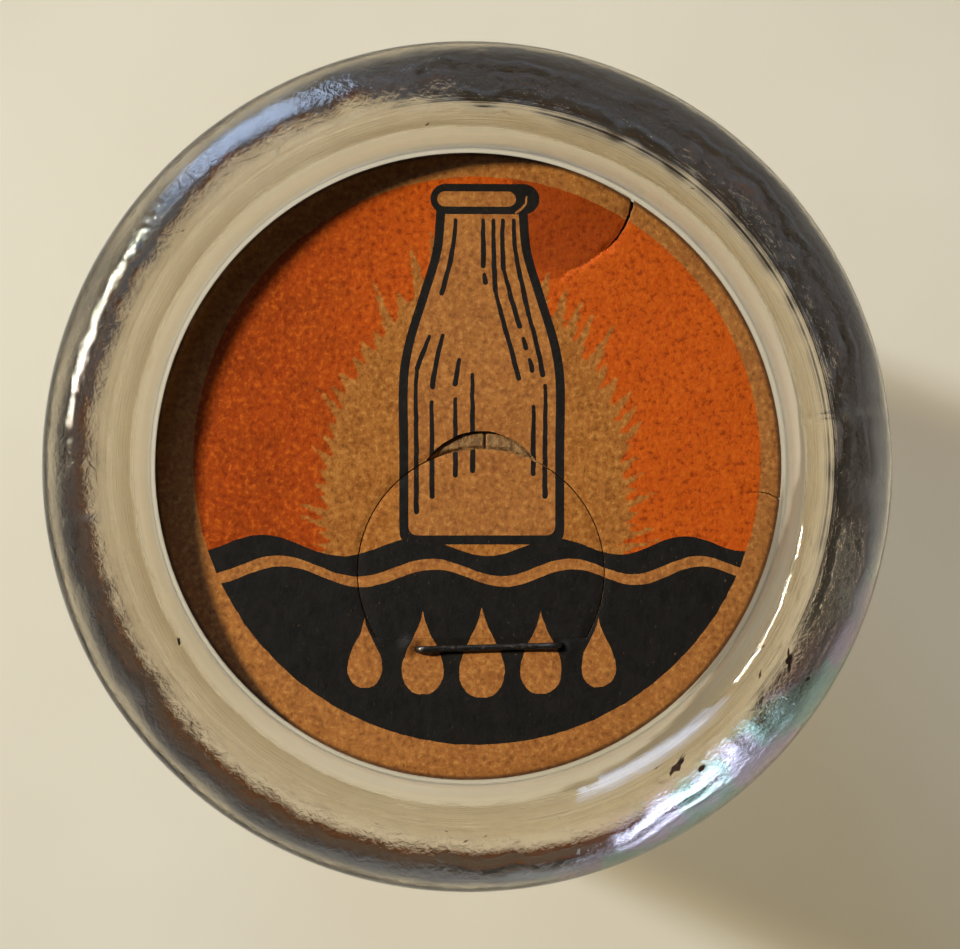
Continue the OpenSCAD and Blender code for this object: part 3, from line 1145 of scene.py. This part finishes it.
def scrap(section, angle, distance, size, rng):
    """A thin torn scrap lying along the lip, as points and faces."""
    a = math.radians(angle)
    radial, around = Vector((math.cos(a), math.sin(a))), Vector((-math.sin(a), math.cos(a)))
    tilt = rng.uniform(-0.6, 0.6)
    n = SCRAP_POINTS
    rim = []
    for i in range(n):
        t = 2 * math.pi * i / n
        reach = size * 0.5 * rng.uniform(0.3, 1.0)
        u, v = reach * math.cos(t), reach * 0.34 * math.sin(t)
        rim.append(radial * (distance + u * math.sin(tilt) + v) + around * (u * math.cos(tilt)))
    verts = []
    for lift in (SCRAP_LOW, SCRAP_HIGH):
        for p in [radial * distance] + rim:
            verts.append((p.x * MM, p.y * MM, lip_height(section, p.length * MM, a) + lift * MM))
    low, high = 0, n + 1
    faces = []
    for i in range(n):
        b, c = 1 + i, 1 + (i + 1) % n
        faces += [(high, high + b, high + c), (low, c, b), (b, c, c + high, b + high)]
    return verts, faces


def build_specks():
    section = section_of("bottle")
    rng = random.Random(SEED + 2)
    verts, faces = [], []
    for angle, distance, size in SPECKS:
        more, sides = scrap(section, angle, distance, size, rng)
        faces += [tuple(i + len(verts) for i in f) for f in sides]
        verts += more
    obj = mesh_object("lip_paper_scraps", verts, faces, [old_paper()], smooth=False)
    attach(obj, "bottle")


# ---- studio

KEY_PLACE = (157, 32, 0.9)    # azimuth and elevation in degrees, distance in metres
KEY_TINT = (1.0, 0.95, 0.77)
FLOOR_R = 3.0                 # in metres
FLOOR_DROP = 0.0002           # keeps the floor just clear of the foot


def build_floor():
    turns = [2 * math.pi * i / 96 for i in range(96)]
    verts = [(FLOOR_R * math.cos(t), FLOOR_R * math.sin(t), 0.0) for t in turns] + [(0, 0, 0)]
    faces = [(96, i, (i + 1) % 96) for i in range(96)]
    mat, tree = blank_material("pale_floor")
    clouds = ramp(tree, noise_of(tree, millimetres(tree), 0.02, 3.0), 0.3, 0.7)
    tone = mixed(tree, clouds, (0.76, 0.7, 0.6, 1), (0.8, 0.745, 0.645, 1))
    shader = add(tree, "ShaderNodeBsdfPrincipled", {
        "Base Color": tone, "Roughness": 0.7, "Specular IOR Level": 0.2})
    output(tree, shader.outputs[0])
    floor = mesh_object("floor", verts, faces, [mat], smooth=False)
    floor.location.z = -FLOOR_DROP


def aimed(name, data, azimuth, elevation, distance, on_matte=True, in_glass=True):
    """Hangs a lamp that points at the bottle: azimuth is where it stands, in degrees from +X towards +Y."""
    lamp = bpy.data.objects.new(name, data)
    a, e = math.radians(azimuth), math.radians(elevation)
    back = Vector((math.cos(a) * math.cos(e), math.sin(a) * math.cos(e), math.sin(e)))
    lamp.location = Vector((0, 0, 0.1)) + back * distance
    lamp.rotation_mode = "QUATERNION"
    lamp.rotation_quaternion = back.to_track_quat("Z", "Y")
    lamp.visible_camera = False
    lamp.visible_diffuse = on_matte
    lamp.visible_glossy = lamp.visible_transmission = in_glass
    bpy.context.scene.collection.objects.link(lamp)


def spot(name, azimuth, elevation, distance, radius, pool, power, colour):
    """A soft-edged beam that lights a pool of that radius, and that glass and gloss don't show."""
    data = bpy.data.lights.new(name, "SPOT")
    data.spot_size, data.spot_blend = 2 * math.atan(pool / distance), 1.0
    data.shadow_soft_size = radius
    data.energy, data.color = power, colour
    aimed(name, data, azimuth, elevation, distance, in_glass=False)


def softbox(name, azimuth, elevation, distance, width, height, power, colour, on_matte=True):
    data = bpy.data.lights.new(name, "AREA")
    data.shape, data.size, data.size_y = "RECTANGLE", width, height
    data.energy, data.color = power, colour
    aimed(name, data, azimuth, elevation, distance, on_matte)


def build_world():
    """A dim room that is darker overhead, cool on one side and warm on the other."""
    world = bpy.data.worlds.new("studio")
    bpy.context.scene.world = world
    world.use_nodes = True
    tree = world.node_tree
    tree.nodes.clear()
    place = add(tree, "ShaderNodeTexCoord")
    parts = add(tree, "ShaderNodeSeparateXYZ", {0: place.outputs["Generated"]})
    side = ramp(tree, parts.outputs[1], -0.7, 0.8)
    low = mixed(tree, side, (0.085, 0.098, 0.135, 1), (0.105, 0.08, 0.058, 1))
    colour = mixed(tree, ramp(tree, parts.outputs[2], 0.25, 0.85), low, (0.03, 0.03, 0.03, 1))
    back = add(tree, "ShaderNodeBackground", {"Color": colour, "Strength": 1.0})
    out = tree.nodes.new("ShaderNodeOutputWorld")
    tree.links.new(back.outputs[0], out.inputs["Surface"])


def build_camera():
    """Looks almost straight down, from 200 mm above the lip."""
    data = bpy.data.cameras.new("camera")
    data.lens = 116.1
    data.sensor_width = 36.0
    data.clip_start, data.clip_end = 0.01, 20.0
    cam = bpy.data.objects.new("camera", data)
    eye = Vector((-9.2, -2.8, 340.0)) * MM
    target = Vector((0.5, -0.6, 140.0)) * MM
    back = (eye - target).normalized()
    right = Vector((0, 1, 0)).cross(back).normalized()
    up = back.cross(right)
    cam.matrix_world = Matrix.Translation(eye) @ Matrix((right, up, back)).transposed().to_4x4()
    bpy.context.scene.collection.objects.link(cam)
    bpy.context.scene.camera = cam


build_camera()
build_world()
build_floor()
# The strip stands where the key does, and gives the key's reflection
spot("key", *KEY_PLACE, 0.04, 0.26, 49.0, KEY_TINT)
softbox("strip", *KEY_PLACE, 0.36, 0.02, 12.0, KEY_TINT, on_matte=False)
softbox("window", 120, 26, 1.1, 0.4, 0.6, 4.0, (0.6, 0.72, 1.0))
softbox("gleam", 122, 26, 1.1, 0.5, 0.8, 7.0, (0.47, 0.66, 1.0), on_matte=False)

inks = [bare_board(), orange_ink(), black_ink(), torn_board()]
build_bottle()
build_specks()
build_board(inks[KRAFT], inks[EDGE])
build_facing(inks)
build_tab(inks)
build_staple()

bpy.context.scene.view_settings.view_transform = "Standard"
